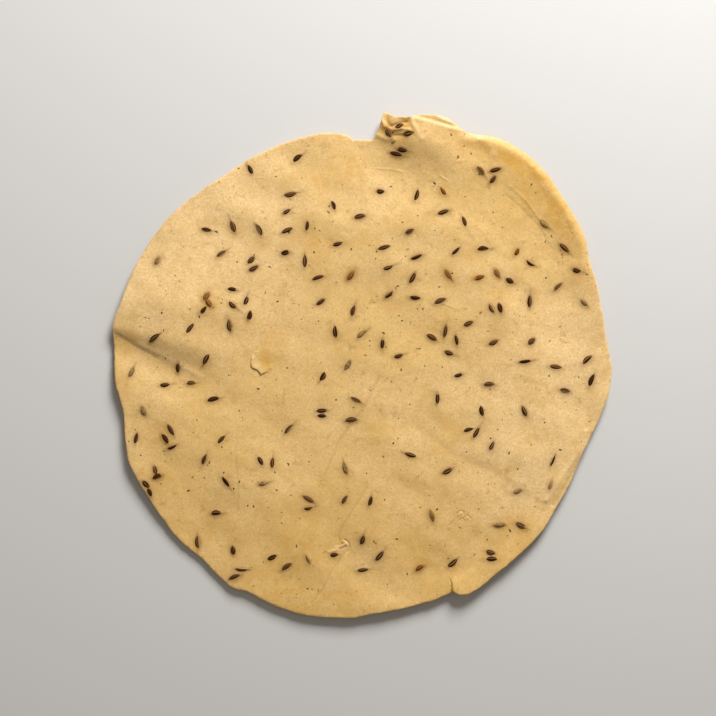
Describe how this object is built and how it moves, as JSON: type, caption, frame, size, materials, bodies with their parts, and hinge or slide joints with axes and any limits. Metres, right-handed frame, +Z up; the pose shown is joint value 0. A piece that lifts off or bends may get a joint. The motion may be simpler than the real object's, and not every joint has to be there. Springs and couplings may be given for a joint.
{
  "type": "cumin papadum",
  "caption": "Raw, unfried cumin papadum: a thin, warped round of dried dough with whole cumin seeds in it, a crease, a chipped edge and a short tear.",
  "frame": {"origin": "bottom centre of the round's box, on the surface it lies on", "axes": "+Z up out of the round's face, +X to the right and +Y away as the picture shows it from above"},
  "size_m": [0.174, 0.1764, 0.0051],
  "materials": {
    "dough": "dry, faintly waxy, slightly translucent pale yellow dough with very dark brown seeds"
  },
  "bodies": {
    "root": {"papadum": "dough"}
  },
  "joints": []
}
